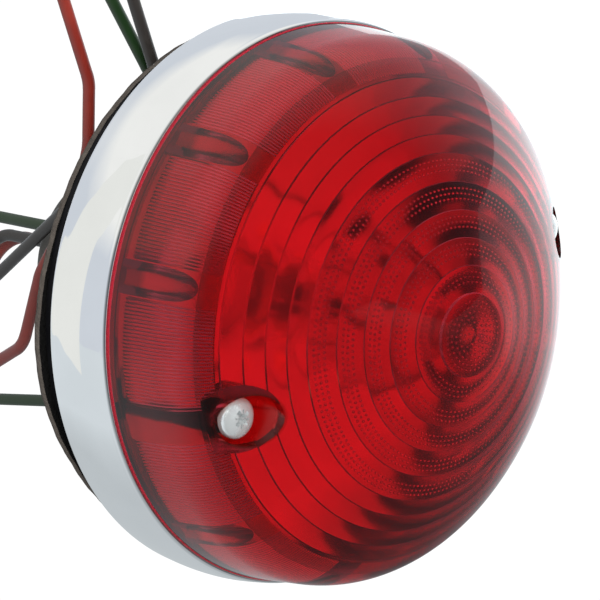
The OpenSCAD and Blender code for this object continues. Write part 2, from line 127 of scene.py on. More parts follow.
# Flutes between two heights, full deep after FLUTE_EASE, and left out of SMOOTH_COLUMNS at each rib.
FLUTE_DEPTH, FLUTE_EASE = 0.2, 0.7
FLUTE_LOW, FLUTE_HIGH = 19.3, 33.8
SMOOTH_COLUMNS = 5
# Ribs inside the side wall; two of the twelve are the screw bosses.
RIB_COUNT, RIB_R, RIB_AT = 12, 2.7, 44.0
WELL_FLOOR, WELL_R = HEAD_TOP - 2.3, 4.2
BOSS_R, PILLAR_R, SCREW_HOLE_R = 5.6, 3.0, 1.9


# ---- mesh helpers ----
def point(r, turn, front):
    """World point at radius r, angle turn about the lamp axis and height front, from millimetres."""
    return (r * math.cos(turn) * MM, -front * MM, r * math.sin(turn) * MM)


def mesh_object(name, verts, faces):
    """Linked mesh object from vertices in metres."""
    mesh = bpy.data.meshes.new(name)
    mesh.from_pydata([tuple(v) for v in verts], [], faces)
    mesh.validate()
    obj = bpy.data.objects.new(name, mesh)
    bpy.context.scene.collection.objects.link(obj)
    return obj


def outward(obj):
    """Turns every face outwards on a closed mesh."""
    bm = bmesh.new()
    bm.from_mesh(obj.data)
    bmesh.ops.recalc_face_normals(bm, faces=bm.faces)
    bm.to_mesh(obj.data)
    bm.free()
    return obj


def smooth(obj, degrees=30.0):
    """Smooth shading, with edges sharper than the angle kept sharp."""
    obj.data.shade_smooth()
    obj.data.set_sharp_from_angle(angle=math.radians(degrees))
    return obj


def lathe(name, profile, columns=192, wave=None):
    """Closed solid turned about the lamp axis from a closed list of (radius, front).
    wave(radius, front, turn), where given, returns the moved (radius, front)."""
    verts, rows = [], []
    for r, front in profile:
        if r < 1e-6:
            rows.append([len(verts)])
            verts.append(point(0, 0, front))
            continue
        rows.append(list(range(len(verts), len(verts) + columns)))
        for i in range(columns):
            turn = TURN * i / columns
            at = wave(r, front, turn) if wave else (r, front)
            verts.append(point(at[0], turn, at[1]))
    faces = []
    loop = list(zip(rows, rows[1:]))
    if len(rows[0]) > 1 and len(rows[-1]) > 1:
        loop.append((rows[-1], rows[0]))
    for a, b in loop:
        if len(a) == 1 and len(b) == 1:
            continue
        for i in range(columns):
            j = (i + 1) % columns
            if len(a) == 1:
                faces.append((a[0], b[i], b[j]))
            elif len(b) == 1:
                faces.append((a[i], b[0], a[j]))
            else:
                faces.append((a[i], b[i], b[j], a[j]))
    return outward(mesh_object(name, verts, faces))


def tube_faces(sides, rings, start=0):
    """Faces along a tube whose rings of vertices follow each other from start, with a cap at each end."""
    faces = []
    for k in range(rings - 1):
        a, b = start + k * sides, start + (k + 1) * sides
        for i in range(sides):
            j = (i + 1) % sides
            faces.append((a + i, b + i, b + j, a + j))
    faces.append(tuple(range(start, start + sides)))
    faces.append(tuple(range(start + (rings - 1) * sides, start + rings * sides)))
    return faces


def rod(name, r, low, high, x=0.0, up=0.0, columns=48, top_r=None):
    """Closed cylinder or cone along the lamp axis, centred on (x, up)."""
    obj = lathe(name, [(0, low), (r, low), (top_r or r, high), (0, high)], columns)
    obj.data.transform(Matrix.Translation((x * MM, 0, up * MM)))
    return obj


def boolean(obj, tool, operation):
    """Applies a boolean and drops the tool."""
    modifier = obj.modifiers.new("cut", "BOOLEAN")
    modifier.operation = operation
    modifier.object = tool
    modifier.solver = "MANIFOLD"
    graph = bpy.context.evaluated_depsgraph_get()
    mesh = bpy.data.meshes.new_from_object(obj.evaluated_get(graph))
    obj.modifiers.clear()
    obj.data = mesh
    bpy.data.objects.remove(tool)


def joined(name, objects):
    """One object from several; the parts stay separate shells."""
    bm = bmesh.new()
    for o in objects:
        bm.from_mesh(o.data)
        bpy.data.objects.remove(o)
    mesh = bpy.data.meshes.new(name)
    bm.to_mesh(mesh)
    bm.free()
    obj = bpy.data.objects.new(name, mesh)
    bpy.context.scene.collection.objects.link(obj)
    return obj


def arc(centre, r, start, end, steps):
    """Points (radius, front) on an arc, angles in degrees."""
    return [
        (
            centre[0] + r * math.cos(math.radians(start + (end - start) * i / steps)),
            centre[1] + r * math.sin(math.radians(start + (end - start) * i / steps)),
        )
        for i in range(steps + 1)
    ]


def eased(points, steps):
    """Points on a smooth curve through the given ones (Catmull-Rom)."""
    out = []
    for k in range(len(points) - 1):
        a, b, c, d = (Vector(points[min(max(k + i, 0), len(points) - 1)]) for i in (-1, 0, 1, 2))
        for i in range(steps):
            t = i / steps
            square, cubic = 2 * a - 5 * b + 4 * c - d, 3 * b - a - 3 * c + d
            at = 2 * b + (c - a) * t + square * t * t + cubic * t**3
            out.append((at.x / 2, at.y / 2))
    return out + [tuple(points[-1])]


# ---- node materials ----
class Shader:
    """A small wrapper that builds the nodes of a material, or of a world, one call at a time."""

    def __init__(self, name, kind="Material"):
        made = bpy.data.worlds if kind == "World" else bpy.data.materials
        self.owner = made.new(name)
        self.owner.use_nodes = True
        self.tree = self.owner.node_tree
        self.tree.nodes.clear()
        self.out = self.tree.nodes.new("ShaderNodeOutput" + kind)

    def add(self, kind, inputs=None, **settings):
        """New node with its settings; an input takes a plain value or another node's output."""
        node = self.tree.nodes.new("ShaderNode" + kind)
        for key, value in settings.items():
            setattr(node, key, value)
        for key, value in (inputs or {}).items():
            if isinstance(value, bpy.types.NodeSocket):
                self.tree.links.new(value, node.inputs[key])
            else:
                node.inputs[key].default_value = value
        return node

    def place(self):
        return self.add("TexCoord").outputs["Object"]

    def split(self, vector):
        return self.add("SeparateXYZ", {0: vector}).outputs

    def calc(self, operation, *values):
        return self.add("Math", dict(enumerate(values)), operation=operation).outputs[0]

    def distance(self, a, b):
        return self.add("VectorMath", {0: a, 1: b}, operation="DISTANCE").outputs["Value"]

    def noise(self, scale, detail=4.0, rough=0.5):
        inputs = {"Vector": self.place(), "Scale": scale, "Detail": detail, "Roughness": rough}
        return self.add("TexNoise", inputs).outputs["Fac"]

    def ramp(self, value, low, high, to_low=0.0, to_high=1.0):
        """Clamped change from to_low at low to to_high at high."""
        inputs = {"Value": value, "From Min": low, "From Max": high, "To Min": to_low, "To Max": to_high}
        return self.add("MapRange", inputs).outputs["Result"]

    def blend(self, factor, a, b):
        return self.add("Mix", {0: factor, 6: a, 7: b}, data_type="RGBA").outputs[2]

    def mix(self, factor, a, b):
        return self.add("MixShader", {0: factor, 1: a.outputs[0], 2: b.outputs[0]}).outputs[0]

    def bump(self, height, strength, distance):
        node = self.add("Bump", {"Height": height, "Strength": strength, "Distance": distance})
        return node.outputs["Normal"]

    def surface(self, socket):
        """Links the output and returns the finished material or world."""
        self.tree.links.new(socket, self.out.inputs["Surface"])
        return self.owner

    def principled(self, **inputs):
        names = {key.replace("_", " "): value for key, value in inputs.items()}
        return self.surface(self.add("BsdfPrincipled", names).outputs[0])


def rgb(r, g, b):
    return (r, g, b, 1.0)


def paint(obj, material):
    obj.data.materials.clear()
    obj.data.materials.append(material)


def see_through(s, tint, plain, ior, haze, clarity=1.0):
    """Coloured glass: tint is what one surface lets through (plain where the tint varies), and haze
    roughens the inner side only. It bends light for the eye, and lets lamps and bounced light pass tinted."""
    back = s.add("NewGeometry").outputs["Backfacing"]
    glass = s.add(
        "BsdfPrincipled",
        {
            "Base Color": tuple(c * c for c in plain[:3]) + (1.0,),
            "Roughness": s.calc("MULTIPLY", back, haze),
            "IOR": ior,
            "Transmission Weight": clarity,
        },
    )
    clear = s.add("BsdfTransparent", {"Color": plain})
    if isinstance(tint, bpy.types.NodeSocket):
        squared = s.add("VectorMath", {0: tint, 1: tint}, operation="MULTIPLY")
        s.tree.links.new(squared.outputs[0], glass.inputs["Base Color"])
        s.tree.links.new(tint, clear.inputs["Color"])
    path = s.add("LightPath").outputs
    passing = s.calc("MAXIMUM", path["Is Shadow Ray"], path["Is Diffuse Ray"])
    return s.surface(s.mix(passing, glass, clear))


def lens_red():
    """Red plastic with painted shade in its tint: darker down the side wall, darkest at its foot, and
    brownish dark in the screw wells.
    """
    s = Shader("lens_red")
    # The wall, foot and well colours are painted shade: darker tints where those parts look darker.
    face, painted_shade_wall = rgb(0.86, 0.21, 0.27), rgb(0.72, 0.16, 0.22)
    painted_shade_foot, painted_shade_well = rgb(0.38, 0.06, 0.10), rgb(0.48, 0.17, 0.10)
    foot_top, foot_full = 21.5, 20.0
    wall_in, wall_out = 43.7, 44.3
    place = s.split(s.place())
    front = s.calc("MULTIPLY", place["Y"], -1.0)
    flat = s.add("CombineXYZ", {0: place["X"], 1: 0.0, 2: place["Z"]}).outputs[0]
    radius = s.add("VectorMath", {0: flat}, operation="LENGTH").outputs["Value"]
    wall = s.ramp(front, (FLUTE_HIGH + 0.6) * MM, (FLUTE_HIGH - 0.4) * MM)
    low = s.ramp(front, foot_top * MM, foot_full * MM)
    foot = s.calc("MULTIPLY", low, s.ramp(radius, wall_out * MM, wall_in * MM))
    across = s.calc("ABSOLUTE", place["X"])
    aside = s.add("CombineXYZ", {0: across, 1: 0.0, 2: place["Z"]}).outputs[0]
    apart = s.distance(aside, (SCREW_AT * MM, 0, 0))
    well = s.ramp(apart, (WELL_R + 0.5) * MM, (WELL_R + 0.1) * MM)
    # Painted shade: the tint darkens down the side wall, more at its foot, and turns brownish dark in the
    # screw wells.
    tint = s.blend(wall, face, painted_shade_wall)
    tint = s.blend(foot, tint, painted_shade_foot)
    tint = s.blend(well, tint, painted_shade_well)
    # The flat edge outside the wall is less clear.
    edge = s.ramp(front, (EDGE_TOP + 0.3) * MM, (EDGE_TOP + 0.1) * MM)
    rim = s.calc("MULTIPLY", edge, s.ramp(radius, wall_out * MM, (wall_out + 0.2) * MM))
    return see_through(s, tint, face, ior=1.49, haze=0.15, clarity=s.ramp(rim, 0.0, 1.0, 1.0, 0.6))


def clear_glass():
    clear = rgb(0.985, 0.99, 0.99)
    return see_through(Shader("clear_glass"), clear, clear, ior=1.5, haze=0.0)


def metal(name, colour, rough, metallic=1.0):
    """Bare or plated metal with a faint cloudy wear pattern."""
    s = Shader(name)
    cloud = s.noise(400.0)
    worn = rgb(*(c * 0.92 for c in colour[:3]))
    return s.principled(
        Base_Color=s.blend(s.ramp(cloud, 0.3, 0.7), colour, worn),
        Metallic=metallic,
        Roughness=s.ramp(cloud, 0.3, 0.7, rough * 0.8, rough * 1.25),
    )


def chrome():
    """Bright plating with a faint cloud and a fine haze."""
    s = Shader("chrome")
    cloud = s.noise(90.0, 3.0)
    fine = s.noise(2600.0, 2.0)
    return s.principled(
        Base_Color=s.blend(s.ramp(cloud, 0.35, 0.65), rgb(0.90, 0.91, 0.92), rgb(0.87, 0.88, 0.89)),
        Metallic=1.0,
        Roughness=s.ramp(fine, 0.3, 0.7, 0.02, 0.05),
    )


def foam():
    """Closed-cell foam: painted shade, near black, on both flat faces, and a brown-grey speckled cut edge."""
    s = Shader("foam")
    cell = s.add("TexVoronoi", {"Vector": s.place(), "Scale": 1600.0})
    speck = s.add("TexVoronoi", {"Vector": s.place(), "Scale": 420.0})
    white = s.ramp(speck.outputs["Distance"], 0.06, 0.03)
    # Painted shade: faces turned along the lamp axis are painted near black, standing for the shade under the
    # bezel on the front face.
    facing = s.split(s.add("NewGeometry").outputs["Normal"])["Y"]
    painted_shade_faces = s.ramp(s.calc("ABSOLUTE", facing), 0.55, 0.85)
    cut = s.blend(s.noise(700.0), rgb(0.030, 0.026, 0.023), rgb(0.075, 0.066, 0.058))
    speckled = s.blend(white, cut, rgb(0.40, 0.40, 0.40))
    return s.principled(
        Base_Color=s.blend(painted_shade_faces, speckled, rgb(0.004, 0.004, 0.004)),
        Roughness=0.95,
        Specular_IOR_Level=0.1,
        Normal=s.bump(cell.outputs["Distance"], 0.6, 0.0003),
    )


def moulding(name, dark, light, rough, relief=0.25, shine=0.5):
    """Moulded plastic or rubber with a fine grain and dusty patches."""
    s = Shader(name)
    grain = s.noise(3000.0, 3.0)
    dust = s.noise(160.0, 5.0, 0.6)
    return s.principled(
        Base_Color=s.blend(s.ramp(dust, 0.45, 0.75), dark, light),
        Roughness=s.ramp(dust, 0.3, 0.8, rough, min(1.0, rough + 0.2)),
        Specular_IOR_Level=shine,
        Normal=s.bump(grain, relief, 0.0001),
    )


def reflector_paint():
    """Pale silver paint on the reflector: bright and scattering rather than mirror-like."""
    s = Shader("reflector_metal")
    cloud = s.noise(120.0, 4.0)
    return s.principled(
        Base_Color=s.blend(s.ramp(cloud, 0.35, 0.65), rgb(0.38, 0.38, 0.375), rgb(0.35, 0.35, 0.345)),
        Metallic=0.0,
        Roughness=0.6,
    )


# name: dark and light colour, roughness, grain relief, shine
MOULDINGS = {
    "black_moulding": (rgb(0.003, 0.003, 0.004), rgb(0.006, 0.006, 0.007), 0.65, 0.2, 0.12),
    "rubber": (rgb(0.030, 0.028, 0.025), rgb(0.055, 0.052, 0.046), 0.55, 0.4),
    "brown_board": (rgb(0.20, 0.10, 0.04), rgb(0.30, 0.17, 0.08), 0.6),
    "black_glass": (rgb(0.01, 0.01, 0.012), rgb(0.02, 0.02, 0.024), 0.12, 0.02),
    "green_insulation": (rgb(0.007, 0.021, 0.006), rgb(0.010, 0.026, 0.008), 0.42, 0.08),
    "black_insulation": (rgb(0.015, 0.013, 0.012), rgb(0.024, 0.021, 0.019), 0.42, 0.08),
    "red_insulation": (rgb(0.11, 0.010, 0.006), rgb(0.14, 0.014, 0.008), 0.42, 0.08),
}
# name: colour, roughness, how metallic
METALS = {
    "brass": (rgb(0.62, 0.48, 0.28), 0.45, 0.3),
    "steel": (rgb(0.50, 0.50, 0.49), 0.5, 0.2),
    "zinc_plate": (rgb(0.80, 0.84, 0.85), 0.24, 0.82),
    "solder": (rgb(0.55, 0.55, 0.57), 0.4),
    "tungsten": (rgb(0.35, 0.34, 0.33), 0.45),
    "copper": (rgb(0.85, 0.42, 0.24), 0.3),
}
MATERIALS = {
    "lens_red": lens_red(),
    "clear_glass": clear_glass(),
    "chrome": chrome(),
    "foam": foam(),
    "reflector_metal": reflector_paint(),
}
MATERIALS.update({name: moulding(name, *look) for name, look in MOULDINGS.items()})
MATERIALS.update({name: metal(name, *look) for name, look in METALS.items()})


def finish_piece(obj, body, slot, *nodes):
    """Paints a finished piece, puts it on its body and lets it stand for the CAD nodes it replaces."""
    paint(obj, MATERIALS[slot])
    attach(obj, body)
    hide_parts(*nodes)
    return obj


# ---- lens ----
lean = math.radians(WALL_LEAN)
nose = math.asin(NOSE_START_R / DOME_R)
dome_c = DOME_TOP - DOME_R
nose_c = (
    dome_c
    + DOME_R * math.cos(nose)
    + NOSE_START_R * math.tan(nose)
    - NOSE_R / math.cos(nose)
)


def shoulder_place():
    """Centre (radius, front) of the shoulder arc: tangent to the side wall and, from inside, to the dome."""
    foot = (FOOT_R - SHOULDER_R * math.cos(lean), EDGE_TOP - SHOULDER_R * math.sin(lean))
    wall = (-math.sin(lean), math.cos(lean))
    rel = (foot[0], foot[1] - dome_c)
    along = rel[0] * wall[0] + rel[1] * wall[1]
    gap = rel[0] ** 2 + rel[1] ** 2 - (DOME_R - SHOULDER_R) ** 2
    slide = -along + math.sqrt(along * along - gap)
    return (foot[0] + slide * wall[0], foot[1] + slide * wall[1])


shoulder_c = shoulder_place()
shoulder_a = math.atan2(shoulder_c[1] - dome_c, shoulder_c[0])


def dome_front(r, depth):
    """Height of the lens face at radius r, for the surface lying depth inside the outer one."""
    if r < (NOSE_R - depth) * math.sin(nose):
        return nose_c + math.sqrt((NOSE_R - depth) ** 2 - r * r)
    if r < (DOME_R - depth) * math.sin(nose):
        return nose_c + (NOSE_R - depth) / math.cos(nose) - r * math.tan(nose)
    if r < (DOME_R - depth) * math.cos(shoulder_a):
        return dome_c + math.sqrt((DOME_R - depth) ** 2 - r * r)
    rest = (SHOULDER_R - depth) ** 2 - (r - shoulder_c[0]) ** 2
    return shoulder_c[1] + math.sqrt(max(0.0, rest))


def wall_radius(front):
    """Outer radius of the leaning side wall."""
    return FOOT_R - (front - EDGE_TOP) * math.tan(lean)


def outer_normal(r, front):
    """Direction (radial, front) of the outer surface's normal at a point on it; none on the flat edge."""
    if front <= EDGE_TOP + 0.01:
        return None
    lift = front - shoulder_c[1]
    if lift < SHOULDER_R * math.sin(lean):
        return (math.cos(lean), math.sin(lean))
    if r > DOME_R * math.cos(shoulder_a):
        n = (r - shoulder_c[0], lift)
    elif r > NOSE_START_R:
        n = (r, front - dome_c)
    elif r > NOSE_R * math.sin(nose):
        n = (math.sin(nose), math.cos(nose))
    else:
        n = (r, front - nose_c)
    size = math.hypot(*n)
    return (n[0] / size, n[1] / size)


def lens_blank():
    """The lens as a solid block under its outer surface."""
    profile = [(0, LENS_SEAT), (LENS_EDGE_R, LENS_SEAT), (LENS_EDGE_R, EDGE_TOP), (FOOT_R, EDGE_TOP)]
    dome_end, nose_end = math.degrees(shoulder_a), 90 - math.degrees(nose)
    profile += arc(shoulder_c, SHOULDER_R, WALL_LEAN, dome_end, 18)
    profile += arc((0, dome_c), DOME_R, dome_end, nose_end, 22)[1:]
    profile += arc((0, nose_c), NOSE_R, nose_end, 90, 10)[:-1]
    profile.append((0, nose_c + NOSE_R))
    return lathe("lens_shell", profile, 240)


def is_smooth(column):
    """True on the unfluted strip beside each rib and screw boss, for a column of the fluted wall."""
    per_rib = COLUMNS // RIB_COUNT
    return (column // SPLIT + SMOOTH_COLUMNS // 2) % per_rib < SMOOTH_COLUMNS


def facet_depth(inner, outer, r):
    """Extra glass on a ring facet between radii inner and outer: a wedge, thick towards the axis, with a
    bulge. The centre facet has no wedge, and the first ring drops to it in a taller step."""
    share = (outer - r) / (outer - inner)
    bulge = RING_BULGE * (outer - inner) * 4 * share * (1 - share)
    if inner == 0:
        return bulge
    return (CENTRE_STEP if inner == RINGS_AT[0] else RING_STEP) * share + bulge


def stitch(a, b):
    """Faces between two rows of vertices, of which one may have SPLIT times as many as the other."""
    if len(a) == len(b):
        n = len(a)
        return [(a[i], b[i], b[(i + 1) % n], a[(i + 1) % n]) for i in range(n)]
    few, many = sorted((a, b), key=len)
    faces = []
    for i in range(len(few)):
        j = (i + 1) % len(few)
        strip = [many[(i * SPLIT + s) % len(many)] for s in range(SPLIT + 1)]
        for s in range(SPLIT):
            faces.append((few[i] if s < SPLIT // 2 else few[j], strip[s], strip[s + 1]))
        faces.append((few[i], strip[SPLIT // 2], few[j]))
    return faces


def lens_void():
    """The hollow of the lens: stepped rings on the face and scalloped flutes down the side wall."""
    verts, rows = [], []

    def row(columns, place):
        rows.append(list(range(len(verts), len(verts) + columns)))
        for i in range(columns):
            turn = TURN * (i - (0.5 if columns == COLUMNS else SPLIT / 2)) / columns
            r, front = place(i)
            verts.append(point(r, turn, front))

    def side(front, share):
        """Row of the fluted side wall; share is how deep the flutes are there."""
        bend = SHOULDER_R - LENS_T
        if front < shoulder_c[1] + bend * math.sin(lean):
            r = wall_radius(front) - LENS_T
            n = (math.cos(lean), math.sin(lean))
        else:
            lift = front - shoulder_c[1]
            r = shoulder_c[0] + math.sqrt(bend**2 - lift * lift)
            n = ((r - shoulder_c[0]) / bend, lift / bend)

        def place(i):
            wave = 0 if is_smooth(i) else abs(math.sin(math.pi * i / FLUTE_SPLIT))
            depth = FLUTE_DEPTH * share * wave
            return (r + depth * n[0], front + depth * n[1])

        row(COLUMNS * SPLIT, place)

    row(COLUMNS, lambda i: (EDGE_IN, LENS_SEAT - 1))
    row(COLUMNS, lambda i: (EDGE_IN, LENS_SEAT + 1.4))
    row(COLUMNS, lambda i: (FOOT_R - LENS_T, EDGE_TOP))
    side(FLUTE_LOW, 0)
    side(FLUTE_LOW + 0.25, 0.7)
    full, steps = FLUTE_LOW + FLUTE_EASE, 9
    for k in range(steps + 1):
        side(full + (FLUTE_HIGH - full) * k / steps, 1)
    side(FLUTE_HIGH + 0.15, 0)
    for k in range(len(RINGS_AT) - 1, -1, -1):
        r = RINGS_AT[k]
        inner = RINGS_AT[k - 1] if k else 0
        start = r if r == RINGS_AT[-1] else r - 0.05
        row(COLUMNS, lambda i: (start, dome_front(r, LENS_T)))
        for s in range(1, RING_ROWS + (k > 0)):
            at = r + (inner - r) * s / RING_ROWS
            depth = LENS_T + facet_depth(inner, r, at)
            row(COLUMNS, lambda i: (at, dome_front(at, depth)))
    faces = []
    for a, b in zip(rows, rows[1:]):
        faces += stitch(a, b)
    tips = (dome_front(0, LENS_T + facet_depth(0, RINGS_AT[0], 0)), LENS_SEAT - 1)
    for ring, front in zip((rows[-1], rows[0]), tips):
        tip = len(verts)
        verts.append(point(0, 0, front))
        faces += [(ring[i], ring[(i + 1) % COLUMNS], tip) for i in range(COLUMNS)]
    return outward(mesh_object("void", verts, faces))


def dot(verts, faces, centre, axis):
    """Adds one dot of the stipple: a closed bead that stands along the Y direction of the axis matrix."""
    start, sides = len(verts), STIPPLE_SIDES
    for share, lift in ((0.0, 1.0), (0.62, 0.72), (1.0, 0.0), (0.62, -0.9), (0.0, -1.0)):
        for s in range(sides if share else 1):
            a = TURN * s / sides
            local = Vector((share * math.cos(a), lift, share * math.sin(a)))
            verts.append(centre + axis @ (local * STIPPLE_R * MM))
    for s in range(sides):
        t = (s + 1) % sides
        faces.append((start, start + 1 + s, start + 1 + t))
        for a in (start + 1, start + 1 + sides):
            faces.append((a + s, a + sides + s, a + sides + t, a + t))
        a = start + 1 + 2 * sides
        faces.append((a + t, a + s, a + sides))


def stipple():
    """Rows of small raised dots on the outer two thirds of each inner ring and all over the centre."""
    verts, faces = [], []
    edges = [0.0] + [r for r in RINGS_AT if r <= STIPPLE_TO + 0.1]
    for k, (low, high) in enumerate(zip(edges, edges[1:])):
        r = low + (high - low) / 3 + 0.2 if k else 0.5
        line = 0
        while r < high - 0.35:
            rise = dome_front(r + 0.2, LENS_T) - dome_front(r - 0.2, LENS_T)
            tilt = Matrix.Rotation(math.atan2(rise, 0.4), 3, "Z").inverted()
            front = dome_front(r, LENS_T + facet_depth(low, high, r))
            count = max(1, round(TURN * r / STIPPLE_PITCH))
            for i in range(count):
                turn = TURN * (i + 0.5 * (line % 2)) / count
                axis = Matrix.Rotation(-turn, 3, "Y") @ tilt
                dot(verts, faces, Vector(point(r, turn, front)), axis)
            line += 1
            r += STIPPLE_PITCH * 0.87
    return outward(mesh_object("stipple", verts, faces))


def exact_normals(obj):
    """Gives the smooth outer faces of the lens the normals of the true curve."""
    mesh = obj.data
    normals = np.zeros(len(mesh.loops) * 3, np.float32)
    mesh.corner_normals.foreach_get("vector", normals)
    normals = normals.reshape(-1, 3)
    places = np.array([v.co for v in mesh.vertices]) / MM
    radii = np.hypot(places[:, 0], places[:, 2])
    for face in mesh.polygons:
        for i in face.loop_indices:
            v = mesh.loops[i].vertex_index
            r, front = radii[v], -places[v][1]
            n = outer_normal(r, front)
            if n is None or r < 1e-4:
                continue
            exact = np.array((n[0] * places[v][0] / r, -n[1], n[0] * places[v][2] / r))
            on_face = front > EDGE_TOP and abs(front - dome_front(r, 0)) < 0.03
            on_wall = abs(r - wall_radius(front)) < 0.03
            if (on_face or on_wall) and exact @ np.array(face.normal) > 0.985:
                normals[i] = exact
    mesh.normals_split_custom_set([tuple(n) for n in normals])


def lens():
    """Lens shell: the blank less its hollow, with ribs, screw bosses, pillar pockets and screw wells."""
    void = lens_void()
    boss_top = WELL_FLOOR - LENS_T
    for i in range(RIB_COUNT):
        turn = TURN * i / RIB_COUNT
        on_screw = i % (RIB_COUNT // 2) == 0
        r, at, low = (BOSS_R, SCREW_AT, boss_top) if on_screw else (RIB_R, RIB_AT, LENS_SEAT + 2)
        rib = rod("rib", r, low, DOME_TOP, at * math.cos(turn), at * math.sin(turn))
        boolean(void, rib, "DIFFERENCE")
    for s in (-1, 1):
        boolean(void, rod("pocket", PILLAR_R + 0.4, LENS_SEAT - 0.5, boss_top, s * SCREW_AT), "UNION")
    boolean(void, stipple(), "DIFFERENCE")
    body = lens_blank()
    boolean(body, void, "DIFFERENCE")
    for s in (-1, 1):
        well = rod("well", WELL_R, WELL_FLOOR, DOME_TOP, s * SCREW_AT, columns=64)
        hole = rod("hole", SCREW_HOLE_R, WELL_FLOOR - 5, WELL_FLOOR + 1, s * SCREW_AT)
        boolean(body, well, "DIFFERENCE")
        boolean(body, hole, "DIFFERENCE")
    smooth(body, 25)
    exact_normals(body)
    finish_piece(body, "lens", "lens_red", "lens")


# ---- bezel ----
def bezel():
    """Chrome ring: barrel side, rolled front lip and the inward shelf under the lens edge."""
    lip_r, inside = LENS_EDGE_R + 0.15, LENS_EDGE_R - 0.5
    shelf, shelf_low = lip_r - 1.85, LENS_SEAT - 0.6
    # Barrel side: height above the rear edge, and how far it stands out there.
    swell = [(0.0, -0.08), (0.06, 0.0), (1.2, 0.13), (2.9, 0.3), (4.4, 0.38), (6.0, 0.4)]
    swell += [(7.6, 0.33), (9.0, 0.17), (10.4, -0.03), (11.5, -0.22)]
    profile = [(inside, BEZEL_REAR)]
    profile += eased([(BODY_R - 0.2 + out, BEZEL_REAR + 0.02 + up) for up, out in swell], 5)
    end = profile[-1]
    roll = BEZEL_FRONT - end[1]
    profile += arc((end[0] - roll, end[1]), roll, 8, 90, 12)
    profile += [(lip_r + 0.12, BEZEL_FRONT), (lip_r, BEZEL_FRONT - 0.15)]
    profile += [(lip_r, LENS_SEAT), (shelf, LENS_SEAT), (shelf, shelf_low), (inside, shelf_low)]
    ring = lathe("bezel_ring", profile, 256)
    finish_piece(smooth(ring, 35), "bezel", "chrome", "chrome_bezel")


# ---- gasket, boot and screws ----
def gasket():
    """Foam ring, cut a little unevenly and stretched on one side, with two screw holes."""
    stretch, stretch_at, stretch_width = 1.5, 3.0, 0.38

    def uneven(r, front, turn):
        if r < GASKET_R - 3:
            return (r, front)
        bulge = stretch * math.exp(-(((turn - stretch_at) / stretch_width) ** 2))
        ripple = 0.05 * math.sin(31 * turn) + 0.04 * math.sin(73 * turn + 1.3)
        return (r + bulge + ripple, front)

    hole, edge = GASKET_HOLE_R, GASKET_R - 0.1
    profile = [(hole, 0), (edge - 0.1, 0), (edge, 0.1), (edge + 0.06, GASKET_T / 2)]
    profile += [(edge, GASKET_T - 0.1), (edge - 0.1, GASKET_T), (hole, GASKET_T)]
    ring = lathe("gasket_foam", profile, 240, uneven)
    for s in (-1, 1):
        boolean(ring, rod("hole", FIXING_R, -2, GASKET_T + 2, s * FIXING_AT, columns=40), "DIFFERENCE")
    finish_piece(smooth(ring, 40), "base", "foam", "mounting_gasket")


def boot():
    """Rubber cap on the base collar: rolled rim, ribbed cone, rounded end and cable nozzle."""
    start, end, thick = -0.35, -36.0, 1.8
    wide, narrow, corner = BOOT_R, BOOT_END_R, 2.2
    ribs, per_rib, rib_h, top, bottom = 9, 8, 0.3, -4.0, -24.0
    outer = [(wide - 0.5, start), (wide, start - 0.5)]
    outer += [(wide, -2.4), (wide - 0.5, -2.9), (wide - 0.5, -3.4)]

    def cone(front):
        return wide - 0.4 + (narrow - wide + 0.4) * max(0.0, (-front - 8) / (-end - 8))

    for i in range(ribs * per_rib + 1):
        share = i / (ribs * per_rib)
        front = top + (bottom - top) * i / (ribs * per_rib)
        outer.append((cone(front) + rib_h * math.sin(TURN * i / per_rib) * (1 - share), front))
    outer += [(cone(f), f) for f in (-26, -28, -30, -32, end + corner)]
    outer += arc((cone(end) - corner, end + corner), corner, -4, -82, 9)
    outer += [(0.72 * narrow, end - 0.2), (0.4 * narrow, end - 0.3), (0, end - 0.3)]
    inner = [(0, end + thick), (narrow - thick - 2.0, end + thick), (narrow - thick, end + thick + 2.0)]
    inner += [(wide - thick - 0.2, -9.4), (COLLAR_R + 0.03, -9.2), (COLLAR_R + 0.03, start)]
    cap = lathe("boot_cap", outer + inner, 144)
    profile = [(0, end + 0.6), (5.6, end + 0.6), (5.6, end - 0.5), (5.15, end - 1.0)]
    profile += [(4.9, NOZZLE_END + 0.5)]
    profile += arc((4.4, NOZZLE_END + 0.5), 0.5, 0, -90, 5)
    nozzle = lathe("nozzle", profile + [(0, NOZZLE_END)], 64)
    nozzle.data.transform(Matrix.Translation((NOZZLE_X * MM, 0, NOZZLE_UP * MM)))
    boolean(cap, nozzle, "UNION")
    bore = rod("bore", CABLE_BORE_R, NOZZLE_END - 2.0, end + 4, NOZZLE_X, NOZZLE_UP)
    boolean(cap, bore, "DIFFERENCE")
    finish_piece(smooth(cap, 30), "base", "rubber", "rear_boot")


